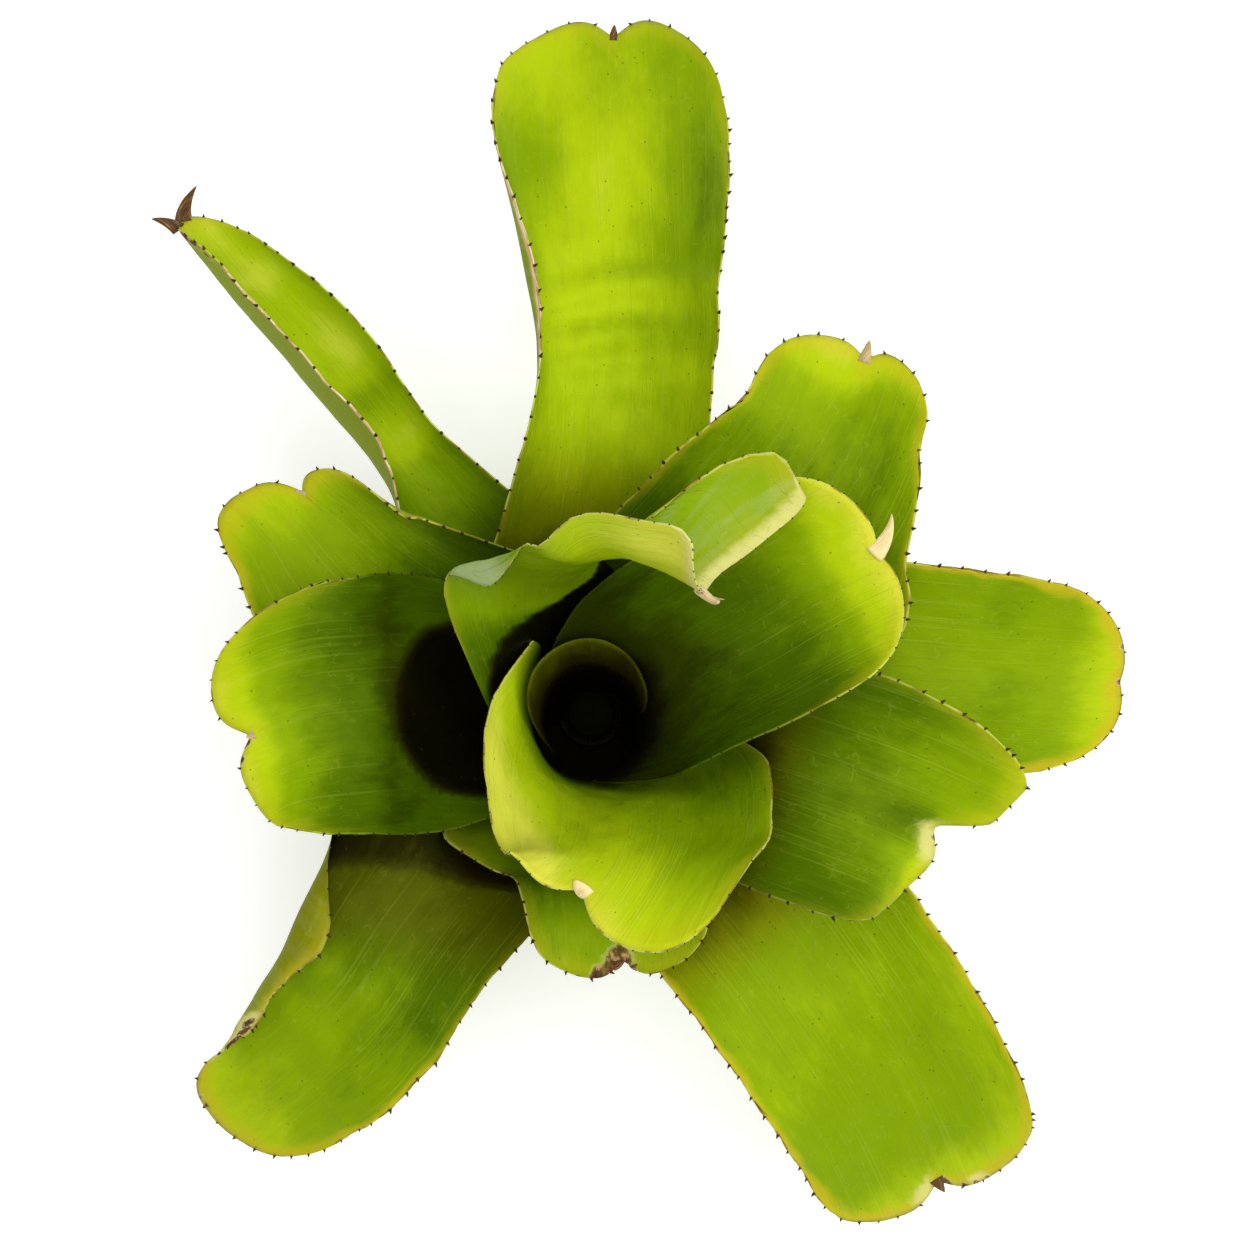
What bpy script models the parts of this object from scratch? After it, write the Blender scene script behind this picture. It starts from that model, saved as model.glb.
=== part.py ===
"""A neoregelia cut at its stem: a rosette of fourteen strap leaves round a short stump.

Each leaf is a thin blade bent by one formula. Its lower part is a sheath that clasps the
stem as part of a circle. Its upper part is laid through cross-sections, each given by a
point of the midrib, the width of both halves and how far each half cups.
The stump stands on its flat cut face at z = 0, in the middle of the XY plane.
"""
from math import cos, radians, sin

import bmesh
import bpy
import numpy as np

MM = 0.001

# Stump: a turned cone with low rings where older leaves have dropped.
STEM_RADIUS = 25.0
STEM_TOP_RADIUS = 7.5
STEM_SHOULDER = 6.0
STEM_HEIGHT = 58.0
STEM_RING = 0.4
STEM_SIDES = 40

# Leaves: the first springs lowest and lies outermost, the last is the heart leaf.
LOWEST_LEAF = 7.0
HIGHEST_LEAF = 53.0
OUTER_SHEATH = 48.0
INNER_SHEATH = 17.0
SEAT_GAP = 0.85
THICKNESS = 1.0
TIP_HORN = 6.0
NOTCH_SHARE = 0.16

# Slow wave of the free edges, out of step between leaves and between both edges.
WAVE = 0.9
WAVE_LENGTH = 62.0
WAVE_START = 0.4
LEAF_PHASE = 2.4
EDGE_PHASE = 2.1

# Grid of one blade: shares of the half width, and length of one row, which carries one spine.
ACROSS = (0.08, 0.27, 0.46, 0.65, 0.83, 1.0)
ROW_LENGTH = 14.5

# Spines of the edge, from a little above the sheath out to the tip.
SPINE_LENGTH = 1.7
SPINE_BASE = 2.2
SPINE_START = 4.0

# Samples that a leaf's curves are worked out with, along it and across one half.
CURVE_SAMPLES = 400
TURN_SAMPLES = 24


def blade(x, y, z, half, cup, curl=1.0, roll=0.0, upright=0.0, left=None, right=None):
    """One cross-section of a blade, in millimetres and degrees.

    half and cup may be pairs for the left and the right half. curl above 1 keeps the turn
    for the edge, and below 1 folds the half at the midrib. upright is 1 where the section
    opens towards the axis and 0 where it opens upwards. left and right name a place seen
    from above that the edge is drawn to.
    """
    return dict(at=(x, y, z), half=pair(half), cup=pair(cup), curl=pair(curl), roll=roll,
                upright=upright, edges=(left, right))


def tip(rounding, notch, power=2.3, skew=0.0):
    """End of a blade: how far its corners are rounded off, its notch and its slant."""
    return dict(rounding=rounding, notch=notch, power=power, skew=skew)


def pair(value):
    return value if isinstance(value, tuple) else (value, value)


LEAVES = [
    # Lowest leaf, folded along its midrib, to the upper left.
    dict(azimuth=128, sheath_top=54, wrap=(56, 56), colour=(0.3, 0.42, 0.03),
         tip=tip(30, 0, power=1.6),
         blade=[
             blade(-37, 47, 78, (34, 42), (32, 40), upright=1),
             blade(-66, 83, 90, (34, 38), 75, curl=0.6, roll=25, left=(-65, 85), right=(-51, 98)),
             blade(-96, 119, 93, 38, (100, 90), curl=0.6, roll=28, left=(-90, 118), right=(-75, 131)),
             blade(-123, 149, 88, 34, (100, 90), curl=0.6, roll=28, left=(-115, 146), right=(-101, 155)),
             blade(-143, 174, 78, 22, (90, 80), curl=0.6, roll=28, left=(-137, 169), right=(-131, 178)),
         ]),
    # Long flat leaf to the lower right.
    dict(azimuth=314, sheath_top=55, wrap=(60, 60), colour=(0.33, 0.45, 0.02),
         tip=tip(32, 9),
         blade=[
             blade(42, -43, 82, 46, 44, upright=1),
             blade(72, -79, 96, 45, 32),
             blade(88, -102, 96, 44, 24),
             blade(105, -129, 86, 43, 20),
             blade(126, -173, 62, 40, 15),
         ]),
    # Long leaf to the top, its left edge rolled in.
    dict(azimuth=84, sheath_top=57, wrap=(60, 60), colour=(0.34, 0.46, 0.02),
         tip=tip(36, 9),
         blade=[
             blade(6, 57, 88, 46, 46, upright=1),
             blade(11, 94, 108, 43, 70, left=(-21, 93), right=(40, 93)),
             blade(12, 128, 112, 43, (120, 75), curl=(2.2, 1), left=(-15, 124), right=(43, 125)),
             blade(11, 159, 109, 44, (175, 60), curl=(3.5, 1), left=(-18, 154), right=(45, 156)),
             blade(9, 198, 100, 42, (100, 25), curl=(3, 1), left=(-32, 197), right=(48, 193)),
             blade(8, 244, 84, 40, (25, 12), left=(-30, 238), right=(45, 241)),
         ]),
    # Leaf to the lower left, its right edge folded over.
    dict(azimuth=221, sheath_top=57, wrap=(60, 60), colour=(0.3, 0.36, 0.02),
         tip=tip(36, 4, power=2),
         blade=[
             blade(-42, -36, 84, (45, 30), (47, 31), upright=1),
             blade(-69, -70, 97, (43, 42), (32, 165), curl=(1, 2.6), left=(-39, -96), right=(-86, -70)),
             blade(-87, -96, 94, (43, 41), (25, 165), curl=(1, 2.8), left=(-58, -125), right=(-104, -91)),
             blade(-111, -118, 84, (41, 34), (20, 150), curl=(1, 2.8), left=(-86, -147), right=(-123, -108)),
             blade(-137, -139, 68, (36, 26), (15, 60), curl=(1, 2)),
         ]),
    # Leaf to the right.
    dict(azimuth=11, sheath_top=60, wrap=(60, 60), colour=(0.33, 0.45, 0.02),
         tip=tip(46, 4),
         blade=[
             blade(51, 9, 88, 44, 48, upright=1),
             blade(88, 17, 108, 40, 40),
             blade(130, 15, 102, (38, 37), 38),
             blade(186, 12, 86, (33, 30), 30),
         ]),
    # Short leaf to the upper left.
    dict(azimuth=141, sheath_top=62, wrap=(60, 60), colour=(0.34, 0.44, 0.02),
         tip=tip(24, 6, skew=-5),
         blade=[
             blade(-37, 30, 96, (36, 46), (43, 55), upright=1),
             blade(-66, 50, 118, 44, (40, 70), roll=-8, right=(-53, 66)),
             blade(-86, 68, 120, (43, 38), (25, 50), roll=-4, left=(-112, 41), right=(-66, 74)),
             blade(-101, 79, 116, (42, 28), (18, 38)),
         ]),
    # Small leaf at the bottom.
    dict(azimuth=281, sheath_top=66, wrap=(58, 58), colour=(0.28, 0.4, 0.02),
         tip=tip(22, 6),
         blade=[
             blade(8, -42, 96, (32, 30), (43, 40), upright=1),
             blade(10, -62, 122, 34, 42),
             blade(12, -86, 124, 28, 35),
         ]),
    # Leaf to the upper right.
    dict(azimuth=46, sheath_top=74, wrap=(60, 60), colour=(0.3, 0.43, 0.02),
         tip=tip(28, 5),
         blade=[
             blade(31, 32, 106, (44, 34), (56, 43), upright=1),
             blade(59, 62, 134, (44, 46), 38, right=(102, 27)),
             blade(79, 89, 140, (36, 33), 33, right=(107, 72)),
             blade(93, 124, 131, (33, 24), 25),
         ]),
    # Leaf to the lower right, notched deep.
    dict(azimuth=347, sheath_top=76, wrap=(62, 50), colour=(0.27, 0.42, 0.02),
         tip=tip(26, 12, skew=-10),
         blade=[
             blade(39, -9, 112, (42, 38), (60, 54), upright=1),
             blade(68, -17, 136, 43, 42),
             blade(97, -27, 142, 42, 38),
             blade(126, -38, 135, (32, 33), 35),
         ]),
    # Wide cupped leaf to the left.
    dict(azimuth=178, sheath_top=72, wrap=(48, 60), colour=(0.27, 0.41, 0.02),
         tip=tip(30, 7, skew=3),
         blade=[
             blade(-41, 2, 98, (38, 46), (53, 64), upright=1),
             blade(-55, 5, 118, 49, (58, 60), upright=0.4, left=(-49, -37), right=(-53, 48)),
             blade(-71, 5, 136, 47, (50, 52), left=(-69, -36), right=(-72, 48)),
             blade(-93, 2, 149, (42, 43), (44, 46), left=(-91, -33), right=(-92, 43)),
             blade(-115, -7, 152, (33, 34), 35),
         ]),
    # Leaf behind the cup that turns sideways and curls back.
    dict(azimuth=112, sheath_top=90, wrap=(66, 66), colour=(0.36, 0.48, 0.04),
         tip=tip(8, 0, power=4),
         blade=[
             blade(-10, 28, 116, (42, 26), (80, 50), upright=1),
             blade(-8, 41, 143, (44, 20), (50, 20), upright=1, left=(-45, 37)),
             blade(1, 50, 182, (42, 12), (100, -60), curl=(4, 0.6), upright=1, left=(-24, 53)),
             blade(12, 53, 202, (42, 26), (-25, -120), curl=0.5, upright=1, left=(-7, 60), right=(21, 65)),
             blade(24, 49, 211, 42, (-25, -60), curl=0.4, upright=1, left=(18, 62), right=(54, 82)),
             blade(36, 41, 214, 40, (-25, -58), curl=0.4, upright=1, left=(32, 51), right=(68, 70)),
         ]),
    # Upright spoon-shaped leaf at the front.
    dict(azimuth=274, sheath_top=88, wrap=(60, 80), colour=(0.38, 0.5, 0.03),
         tip=tip(24, 8),
         blade=[
             blade(4, -23, 112, (36, 54), (83, 128), upright=1),
             blade(9, -27, 138, (50, 52), (64, 85), upright=0.8, left=(57, -10), right=(-32, 6)),
             blade(9, -35, 160, 50, (45, 60), upright=0.5, left=(59, -33), right=(-32, -21)),
             blade(4, -44, 178, 48, (35, 45), upright=0.2, left=(46, -50), right=(-25, -39)),
             blade(-6, -55, 190, (46, 40), 30),
         ]),
    # Wide cupped leaf to the right.
    dict(azimuth=29, sheath_top=92, wrap=(72, 72), colour=(0.3, 0.44, 0.02),
         tip=tip(26, 3),
         blade=[
             blade(18, 9, 112, 40, 115, upright=1),
             blade(34, 21, 134, 46, (85, 80), roll=-6, upright=0.5),
             blade(53, 32, 150, 46, 72, roll=-8),
             blade(74, 45, 162, 43, 60, roll=-6),
             blade(95, 56, 168, (36, 35), 45),
         ]),
    # Young heart leaf, rolled inside the others.
    dict(azimuth=125, sheath_top=90, wrap=(70, 75), colour=(0.12, 0.14, 0.02),
         tip=tip(14, 0),
         blade=[
             blade(-9, 14, 108, (28, 34), (95, 116), upright=1),
             blade(-11, 24, 136, (22, 40), (52, 112), upright=1),
         ]),
]


def spline(knots, values, at):
    """Smooth curve through the values at the knots."""
    knots = np.asarray(knots, float)
    values = np.asarray(values, float)
    gaps = np.diff(knots)
    chords = np.diff(values, axis=0) / gaps[:, None]
    slopes = np.empty_like(values)
    before = gaps[:-1, None]
    after = gaps[1:, None]
    slopes[1:-1] = (chords[:-1] * after + chords[1:] * before) / (before + after)
    slopes[0] = chords[0]
    slopes[-1] = 1.5 * chords[-1] - 0.5 * slopes[-2]
    cell = np.clip(np.searchsorted(knots, at, side="right") - 1, 0, len(gaps) - 1)
    step = gaps[cell][:, None]
    x = (at - knots[cell])[:, None] / step
    start = (2 * x**3 - 3 * x**2 + 1) * values[cell]
    start += (x**3 - 2 * x**2 + x) * step * slopes[cell]
    end = (3 * x**2 - 2 * x**3) * values[cell + 1]
    end += (x**3 - x**2) * step * slopes[cell + 1]
    return start + end


def table_at(places, table, at):
    """Rows of a sampled table at the given places."""
    columns = [np.interp(at.ravel(), places, column) for column in table.T]
    return np.stack(columns, axis=1).reshape(at.shape + (len(columns),))


def unit(vectors):
    return vectors / np.linalg.norm(vectors, axis=-1, keepdims=True)


def along(vectors, directions):
    return (vectors * directions).sum(axis=-1, keepdims=True)


def stem_radius(z):
    share = (z - STEM_SHOULDER) / (STEM_HEIGHT - STEM_SHOULDER)
    return STEM_RADIUS + (STEM_TOP_RADIUS - STEM_RADIUS) * share


class Leaf:
    """The bent blade of one leaf."""

    def __init__(self, rank, count, spec):
        self.spec = spec
        self.phase = LEAF_PHASE * rank
        share = rank / (count - 1)
        self.outward = np.array([cos(radians(spec["azimuth"])), sin(radians(spec["azimuth"])), 0.0])
        base = LOWEST_LEAF + (HIGHEST_LEAF - LOWEST_LEAF) * share
        sheath_radius = OUTER_SHEATH + (INNER_SHEATH - OUTER_SHEATH) * share
        sections = self.sheath(base, sheath_radius) + spec["blade"]
        points = np.array([s["at"] for s in sections], float)
        knots = np.append(0.0, np.cumsum(np.linalg.norm(np.diff(points, axis=0), axis=1)))
        fine = np.linspace(0.0, knots[-1], CURVE_SAMPLES)
        midrib = spline(knots, points, fine)
        lengths = np.append(0.0, np.cumsum(np.linalg.norm(np.diff(midrib, axis=0), axis=1)))
        self.length = lengths[-1]
        self.sheath_length = np.interp(knots[2], fine, lengths)
        self.places = np.linspace(0.0, self.length, CURVE_SAMPLES)
        self.midrib = table_at(lengths, midrib, self.places)
        stations = np.interp(knots, fine, lengths)
        rows = [(*s["half"], *s["cup"], *s["curl"], s["roll"], s["upright"]) for s in sections]
        self.form = spline(stations, rows, self.places)
        self.set_frame()
        self.pull = np.zeros((CURVE_SAMPLES, 6))
        self.pull = spline(stations, self.edge_pulls(stations, sections), self.places)

    def sheath(self, base, radius):
        """Sections of the clasping foot, each a part of a level circle round the axis."""
        left, right = self.spec["wrap"]
        foot = stem_radius(base) + SEAT_GAP
        sections = []
        for share in (0.0, 0.4, 1.0):
            reach = foot + (radius - foot) * (1.0 - (1.0 - share) ** 2)
            x, y = reach * self.outward[:2]
            z = base + (self.spec["sheath_top"] - base) * share
            half = (reach * radians(left), reach * radians(right))
            sections.append(blade(x, y, z, half, (left, right), upright=1.0))
        return sections

    def set_frame(self):
        """Directions across the blade and up from it, all along the midrib."""
        tangent = unit(np.gradient(self.midrib, axis=0))
        upright = np.clip(self.form[:, 7:8], 0.0, 1.0)
        up = np.array([0.0, 0.0, 1.0])
        facing = -self.outward * upright + up * (1.0 - upright)
        normal = unit(facing - along(facing, tangent) * tangent)
        side = np.cross(normal, tangent)
        roll = np.radians(self.form[:, 6:7])
        self.side = np.cos(roll) * side + np.sin(roll) * normal
        normal = np.cos(roll) * normal - np.sin(roll) * side
        inward = -self.outward + along(self.outward, self.side) * self.side
        self.rise = unit(upright * inward + (1.0 - upright) * normal)

    def edge_pulls(self, stations, sections):
        """Shift of the left and right edge at each section that names a place for it."""
        pulls = np.zeros((len(sections), 6))
        for row, section in enumerate(sections):
            for index, place in enumerate(section["edges"]):
                if place:
                    across = 1.0 - 2.0 * index
                    edge = self.point(np.array([stations[row]]), np.array([across]))[0]
                    pulls[row, 3 * index:3 * index + 2] = np.array(place) - edge[:2]
        return pulls

    def end(self, across):
        """Length of the blade at a share of its half width: round, with a notch."""
        shape = self.spec["tip"]
        share = np.abs(across)
        rounding = 1.0 - np.clip(1.0 - share ** shape["power"], 0.0, 1.0) ** (1.0 / shape["power"])
        notch = shape["notch"] * np.exp(-((share / NOTCH_SHARE) ** 1.4))
        return self.length - shape["rounding"] * rounding - notch - shape["skew"] * across

    def point(self, place, across):
        """Point of the middle surface; across runs from -1 (right edge) to 1 (left edge)."""
        place = np.clip(place, 0.0, self.length)
        form = table_at(self.places, self.form, place)
        side = unit(table_at(self.places, self.side, place))
        rise = unit(table_at(self.places, self.rise, place))
        pull = table_at(self.places, self.pull, place)
        left = across > 0.0
        share = np.abs(across)
        half = np.where(left, form[..., 0], form[..., 1])
        cup = np.radians(np.where(left, form[..., 2], form[..., 3]))
        curl = np.where(left, form[..., 4], form[..., 5])
        steps = (np.arange(TURN_SAMPLES) + 0.5) / TURN_SAMPLES
        turn = cup[..., None] * (share[..., None] * steps) ** curl[..., None]
        reach = half * across * np.cos(turn).mean(axis=-1)
        lift = half * share * np.sin(turn).mean(axis=-1)
        free = np.clip((place / self.length - WAVE_START) / 0.2, 0.0, 1.0)
        swing = np.sin(2.0 * np.pi * place / WAVE_LENGTH + self.phase + EDGE_PHASE * left)
        lift += WAVE * free * share**2.5 * swing
        drawn = np.where(left[..., None], pull[..., :3], pull[..., 3:])
        point = table_at(self.places, self.midrib, place) + drawn * share[..., None] ** 1.7
        return point + side * reach[..., None] + rise * lift[..., None]


def leaf_sheet(leaf):
    """Open mesh of the blade: a flat grid bent by the leaf's formula, with spines."""
    across = sorted([-a for a in ACROSS] + [0.0] + list(ACROSS))
    columns = len(across) - 1
    rows = round(leaf.length / ROW_LENGTH)
    sheet = bmesh.new()
    bmesh.ops.create_grid(sheet, x_segments=columns, y_segments=rows, size=1.0)
    share = np.array([across[round((v.co.x + 1.0) / 2.0 * columns)] for v in sheet.verts])
    progress = np.array([(v.co.y + 1.0) / 2.0 for v in sheet.verts])
    points = leaf.point(progress * leaf.end(share), share)
    onward = unit(leaf.midrib[-1] - leaf.midrib[-2])
    points[(share == 0.0) & (progress > 0.999)] += TIP_HORN * (onward + 0.5 * leaf.rise[-1])
    for vertex, point in zip(sheet.verts, points):
        vertex.co = point * MM
    add_spines(sheet, leaf, share, progress)
    bmesh.ops.triangulate(sheet, faces=sheet.faces[:])
    bmesh.ops.recalc_face_normals(sheet, faces=sheet.faces[:])
    return sheet


def add_spines(sheet, leaf, share, progress):
    """Raise a small tooth on the middle of every edge piece of the free blade."""
    sheet.verts.ensure_lookup_table()
    rim = []
    for edge in sheet.edges:
        ends = [v.index for v in edge.verts]
        on_side = abs(share[ends[0]]) == 1.0 and share[ends[0]] == share[ends[1]]
        on_tip = min(progress[ends]) > 0.999 and max(abs(share[ends])) > 0.2
        free = min(progress[ends]) * leaf.length > leaf.sheath_length + SPINE_START
        if edge.is_boundary and free and (on_side or on_tip):
            rim.append(edge)
    for edge in rim:
        face = edge.link_faces[0]
        middle = (edge.verts[0].co + edge.verts[1].co) / 2.0
        run = (edge.verts[1].co - edge.verts[0].co).normalized()
        outward = middle - face.calc_center_median()
        outward = (outward - outward.dot(run) * run).normalized()
        cuts = bmesh.ops.subdivide_edges(sheet, edges=[edge], cuts=2)
        corners = [v for v in cuts["geom_inner"] if isinstance(v, bmesh.types.BMVert)]
        corners.sort(key=lambda v: (v.co - middle).dot(run))
        corners[0].co = middle - run * SPINE_BASE / 2.0 * MM
        corners[1].co = middle + run * SPINE_BASE / 2.0 * MM
        point = sheet.verts.new(middle + outward * SPINE_LENGTH * MM)
        sheet.faces.new((corners[0], point, corners[1]))


def make_material(name, colour, roughness):
    material = bpy.data.materials.new(name)
    material.use_nodes = True
    shader = material.node_tree.nodes["Principled BSDF"]
    shader.inputs["Base Color"].default_value = (*colour, 1.0)
    shader.inputs["Roughness"].default_value = roughness
    shader.inputs["Metallic"].default_value = 0.0
    return material


def add_object(collection, name, mesh, material):
    thing = bpy.data.objects.new(name, mesh)
    thing.data.materials.append(material)
    collection.objects.link(thing)
    return thing


def add_leaf(collection, leaf, name):
    sheet = leaf_sheet(leaf)
    mesh = bpy.data.meshes.new(name)
    sheet.to_mesh(mesh)
    sheet.free()
    material = make_material(name + "_blade", leaf.spec["colour"], 0.42)
    thing = add_object(collection, name, mesh, material)
    thickness = thing.modifiers.new("thickness", "SOLIDIFY")
    thickness.thickness = THICKNESS * MM
    thickness.offset = 0.0


def add_stem(collection):
    """Turn the stump: a flat cut face, a short shoulder, then a cone with leaf scars."""
    profile = [(STEM_RADIUS - 1.0, 0.0), (STEM_RADIUS, 1.0), (STEM_RADIUS, STEM_SHOULDER)]
    scars = 8
    for scar in range(scars):
        z = STEM_SHOULDER + (STEM_HEIGHT - STEM_SHOULDER) * (scar + 0.5) / scars
        profile.append((stem_radius(z) - STEM_RING, z))
        z = STEM_SHOULDER + (STEM_HEIGHT - STEM_SHOULDER) * (scar + 0.9) / scars
        profile.append((stem_radius(z), z))
    outline = [(0.0, STEM_HEIGHT)] + profile[::-1] + [(0.0, 0.0)]
    mesh = bpy.data.meshes.new("stem")
    vertices = [(x * MM, 0.0, z * MM) for x, z in outline]
    edges = [(i, i + 1) for i in range(len(outline) - 1)]
    mesh.from_pydata(vertices, edges, [])
    stem = add_object(collection, "stem", mesh, make_material("stem_flesh", (0.16, 0.10, 0.045), 0.7))
    turn = stem.modifiers.new("turn", "SCREW")
    turn.steps = STEM_SIDES
    turn.render_steps = STEM_SIDES
    turn.use_merge_vertices = True
    turn.merge_threshold = 0.00001
    turn.use_smooth_shade = True


def main():
    for thing in list(bpy.data.objects):
        bpy.data.objects.remove(thing, do_unlink=True)
    collection = bpy.data.collections.new("neoregelia")
    bpy.context.scene.collection.children.link(collection)
    add_stem(collection)
    for rank, spec in enumerate(LEAVES):
        add_leaf(collection, Leaf(rank, len(LEAVES), spec), f"leaf_{rank + 1:02d}")


main()
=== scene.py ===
"""Looks of the neoregelia rosette: fine blades with spined edges, dry tips and a scarred stump.

Every leaf is the blade of the part's own formula on a finer grid. Sizes are in millimetres,
and points are set in metres.
"""
import random
from math import cos, radians, sin, tau

import bmesh
import bpy
import numpy as np
from mathutils import Matrix, Vector


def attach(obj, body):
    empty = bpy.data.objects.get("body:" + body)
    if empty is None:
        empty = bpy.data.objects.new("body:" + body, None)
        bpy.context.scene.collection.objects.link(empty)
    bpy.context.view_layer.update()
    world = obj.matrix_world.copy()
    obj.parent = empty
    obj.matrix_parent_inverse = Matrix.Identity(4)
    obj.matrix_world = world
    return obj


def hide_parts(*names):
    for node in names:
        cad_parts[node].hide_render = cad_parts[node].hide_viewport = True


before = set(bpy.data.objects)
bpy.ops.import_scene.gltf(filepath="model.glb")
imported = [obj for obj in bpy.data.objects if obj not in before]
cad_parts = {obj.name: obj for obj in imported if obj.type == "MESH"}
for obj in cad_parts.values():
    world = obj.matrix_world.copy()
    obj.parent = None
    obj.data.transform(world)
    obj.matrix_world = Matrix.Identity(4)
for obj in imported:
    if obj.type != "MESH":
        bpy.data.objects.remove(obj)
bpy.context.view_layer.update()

MM = 0.001

# Stump: a turned cone with low rings where older leaves have dropped.
STEM_RADIUS = 25
STEM_TOP_RADIUS = 7.5
STEM_SHOULDER = 6
STEM_HEIGHT = 58
STEM_FOOT = ((1, 0), (0.3, 0.3), (0, 1), (0, STEM_SHOULDER))  # (distance in, height)
STEM_SCAR = ((0.35, 0.6), (0.5, 1), (0.75, 0.5), (0.9, 0))  # shares of (scar, STEM_RING)
STEM_RING = 0.4
STEM_SIDES = 96
STEM_SCARS = 8

# Leaves: the first springs lowest and lies outermost, the last is the heart leaf.
LOWEST_LEAF = 7
HIGHEST_LEAF = 53
OUTER_SHEATH = 48
INNER_SHEATH = 17
SEAT_GAP = 0.85
THICKNESS = 1
NOTCH_SHARE = 0.16
NOTCH_POWER = 1.4
DRAWN_POWER = 1.7

# Slow wave of the free edges, out of step between leaves and between both edges.
WAVE = 0.9
WAVE_LENGTH = 62
WAVE_START = 0.4
WAVE_EASE = 0.2
WAVE_POWER = 2.5
LEAF_PHASE = 2.4
EDGE_PHASE = 2.1

# Grid of one blade.
COLUMNS = 52
COLUMN_SHIFT = 0.09  # sets columns closer at the midrib and at both edges
ROW_LENGTH = 3
CURVE_SAMPLES = 400
TURN_SAMPLES = 24

# Share of the thickness left at the edge, and how far in the taper reaches.
EDGE_THICKNESS = 0.55
EDGE_TAPER = 7

# Small unevenness: (size, length) along the edges and (size, along, across) of the blade.
EDGE_WOBBLES = ((0.25, 23), (0.15, 9), (0.1, 5.3))
BLADE_SWELLS = ((0.35, 47, 38), (0.18, 21, 17), (0.1, 11, 23))
UNEVEN_FROM = 0.3
WOBBLE_PHASE = 1.7

# Folds run across the blade in a bow and at a slant.
RIPPLE_BOW = 6
RIPPLE_SLANT = 2.5
RIPPLE_EASE = 0.08

# Markings: how softly they begin, and how much wider the yellow edge is at the end.
MARGIN_EASE = 0.06
BRONZE_EASE = 0.12
FRINGE_GROWTH = 2.6
FRINGE_REACH = 25

# Spines of the edge, in uneven sizes and steps.
SPINE_LENGTH = 1.4
SPINE_RADIUS = 0.62
SPINE_POINT = 0.14
SPINE_SIDES = 6
SPINE_LEAN = 0.4
SPINE_SUNK = 0.25
SPINE_SPACING = 7.6
SPINE_START = 6
SPINE_SIZES = (0.75, 1.2)
SPINE_STEPS = (0.75, 1.25)
NOTCH_CLEARANCE = 0.12
EDGE_SAMPLES = 160
END_SAMPLES = 141
INNER_STEP = 0.8
INNER_SHARE = 0.97

# Dry points in the notches.
HORN_RINGS = 14
HORN_SIDES = 12
HORN_ROOT = 0.9
HORN_SUNK = 1.6
HORN_TAPER = 0.8
HORN_POINT = 0.12
HORN_FLATNESS = 0.5
STREAK_SPREAD = 1.6
STREAK_SHIFT = 7

# Slots of a leaf's materials; the upper side has the first, 0.
UNDER, SPINES, HORNS = 1, 2, 3

# Floor and lights in metres: (name, place, size, power).
FLOOR_SIZE = 6
FLOOR_DROP = 0.0002
FLOOR_GLOW = 0.34
SKY = 0.42
LIGHTS = (("overhead", (0.1, 0.1, 2), 1.6, 24), ("right", (1.3, 0.1, 1.3), 0.9, 9))
LIT_PLACE = (0, 0, 0.1)

# Camera: looks straight down on the rosette.
CAMERA_PLACE = (12.9, 31.1, 1000)
CAMERA_LENS = 75.55
CAMERA_REACH = 20


def blade(x, y, z, half, cup, curl=1, roll=0, upright=0, left=None, right=None):
    """One cross-section of a blade, in millimetres and degrees.

    half and cup may be pairs for the left and the right half. curl above 1 keeps the turn
    for the edge, and below 1 folds the half at the midrib. upright is 1 where the section
    opens towards the axis and 0 where it opens upwards. left and right name a place seen
    from above that the edge is drawn to.
    """
    return dict(at=(x, y, z), half=pair(half), cup=pair(cup), curl=pair(curl), roll=roll,
                upright=upright, edges=(left, right))


def tip(rounding, notch, power=2.3, skew=0):
    """End of a blade: how far its corners are rounded off, its notch and its slant."""
    return dict(rounding=rounding, notch=notch, power=power, skew=skew)


def pair(value):
    return value if isinstance(value, tuple) else (value, value)


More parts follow.
